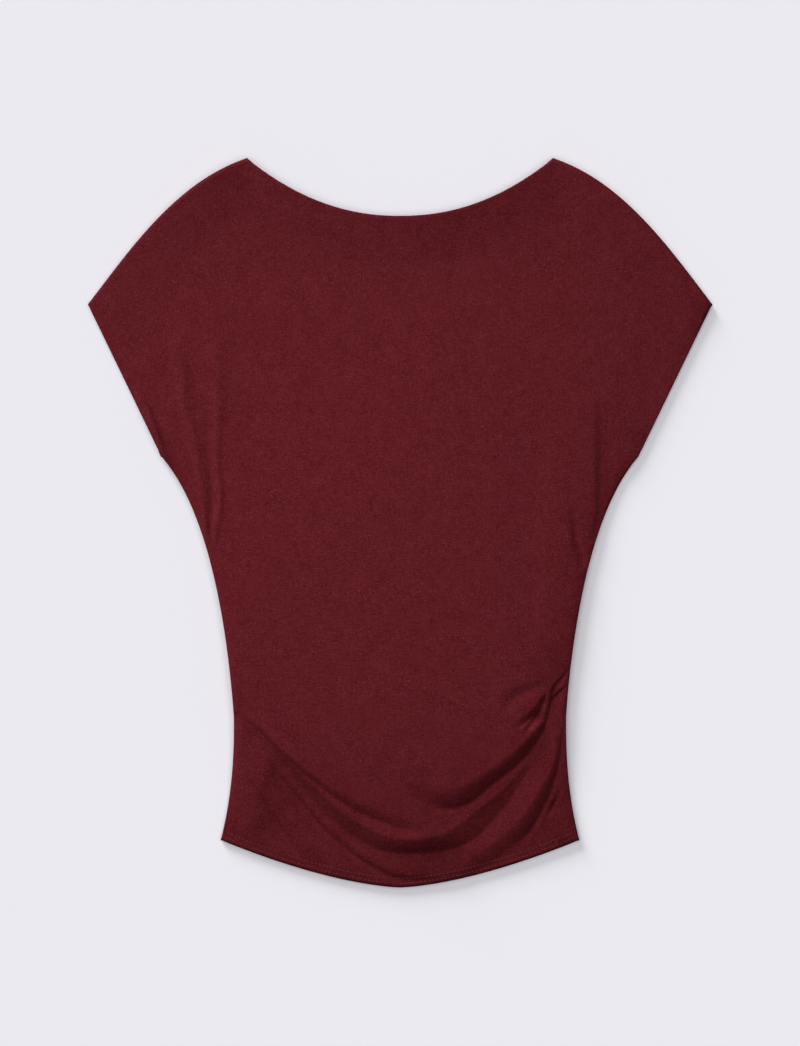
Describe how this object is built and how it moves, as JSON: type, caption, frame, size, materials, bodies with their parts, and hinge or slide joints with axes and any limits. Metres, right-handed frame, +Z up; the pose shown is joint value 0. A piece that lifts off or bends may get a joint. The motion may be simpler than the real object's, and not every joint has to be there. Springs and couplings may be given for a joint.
{
  "type": "knit t-shirt",
  "caption": "Short-sleeved knit top laid flat, with a wide boat neck, shaped sides, a rounded hem and draped swags across its lower front.",
  "frame": {"origin": "on the surface that the back lies on, under the middle of the top's bounding box", "axes": "+Y from the hem to the neck, +X to the right of the top as it is seen, +Z up from the surface"},
  "size_m": [0.5628, 0.6564, 0.0112],
  "materials": {
    "jersey": "fine knitted jersey, dull, dark red with a faint fleck",
    "turned_jersey": "the wrong side of the same jersey, turned in and stitched down"
  },
  "bodies": {
    "root": {"front_panel": "jersey", "back_panel": "jersey", "front_hem_turnup": "turned_jersey", "front_neck_turnup": "turned_jersey", "front_left_sleeve_turnup": "turned_jersey", "front_right_sleeve_turnup": "turned_jersey", "back_hem_turnup": "turned_jersey", "back_neck_turnup": "turned_jersey", "back_left_sleeve_turnup": "turned_jersey", "back_right_sleeve_turnup": "turned_jersey"}
  },
  "joints": []
}
